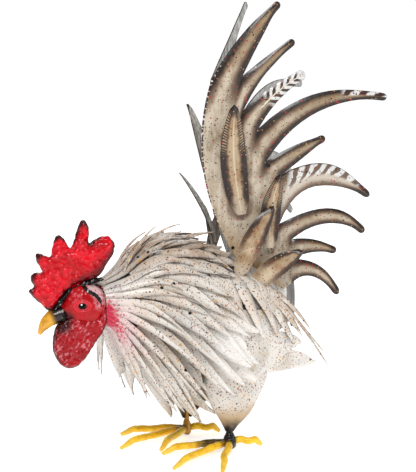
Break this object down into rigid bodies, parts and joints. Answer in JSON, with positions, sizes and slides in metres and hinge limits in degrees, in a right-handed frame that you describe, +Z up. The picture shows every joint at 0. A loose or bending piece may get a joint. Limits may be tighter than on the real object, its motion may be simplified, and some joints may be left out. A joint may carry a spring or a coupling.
{
  "type": "sheet metal rooster sculpture",
  "caption": "Garden rooster sculpture of cut and pressed sheet metal, with layered neck hackles, a fanned upright tail and two wire-toed feet that it stands on.",
  "frame": {"origin": "bottom centre of the bounding box, on the floor that the feet stand on", "axes": "+Z up, the beak towards -X and the tail towards +X, the bird's left side towards -Y"},
  "size_m": [0.4338, 0.2418, 0.524],
  "materials": {
    "speckled_cream_paint": "satin clear-coated off-white with fine dark, ochre and red-brown speckles",
    "shaded_cream_paint": "satin cream and beige shaded to dark brown at the edges, speckled",
    "glossy_red_paint": "glossy hammered red rubbed with milky pink, dark edges",
    "ochre_yellow_paint": "satin ochre yellow with brown shading",
    "glossy_black_paint": "glossy black"
  },
  "bodies": {
    "root": {"beak": "ochre_yellow_paint", "body": "speckled_cream_paint", "comb": "glossy_red_paint", "head": "glossy_red_paint", "left_back_toe": "ochre_yellow_paint", "left_eye": "glossy_black_paint", "left_front_tail_feather": "shaded_cream_paint", "left_inner_toe": "ochre_yellow_paint", "left_lower_tail_feather": "shaded_cream_paint", "left_middle_tail_feather": "shaded_cream_paint", "left_middle_toe": "ochre_yellow_paint", "left_outer_toe": "ochre_yellow_paint", "left_saddle_fan": "speckled_cream_paint", "left_shank": "glossy_black_paint", "left_tail_plate": "shaded_cream_paint", "left_tall_tail_feather": "shaded_cream_paint", "left_thigh": "speckled_cream_paint", "left_wattle": "glossy_red_paint", "left_wing": "speckled_cream_paint", "left_wing_rivet": "shaded_cream_paint", "neck_hackle_ring_1": "speckled_cream_paint", "neck_hackle_ring_2": "speckled_cream_paint", "neck_hackle_ring_3": "speckled_cream_paint", "neck_hackle_ring_4": "speckled_cream_paint", "neck_hackle_ring_5": "speckled_cream_paint", "neck_hackle_ring_6": "speckled_cream_paint", "right_back_toe": "ochre_yellow_paint", "right_eye": "glossy_black_paint", "right_front_tail_feather": "shaded_cream_paint", "right_inner_toe": "ochre_yellow_paint", "right_lower_tail_feather": "shaded_cream_paint", "right_middle_tail_feather": "shaded_cream_paint", "right_middle_toe": "ochre_yellow_paint", "right_outer_toe": "ochre_yellow_paint", "right_saddle_fan": "speckled_cream_paint", "right_shank": "glossy_black_paint", "right_short_tail_feather": "shaded_cream_paint", "right_tail_plate": "shaded_cream_paint", "right_tall_tail_feather": "shaded_cream_paint", "right_thigh": "speckled_cream_paint", "right_thin_tail_feather": "shaded_cream_paint", "right_wattle": "glossy_red_paint", "right_wing": "speckled_cream_paint", "right_wing_rivet": "shaded_cream_paint"}
  },
  "joints": []
}
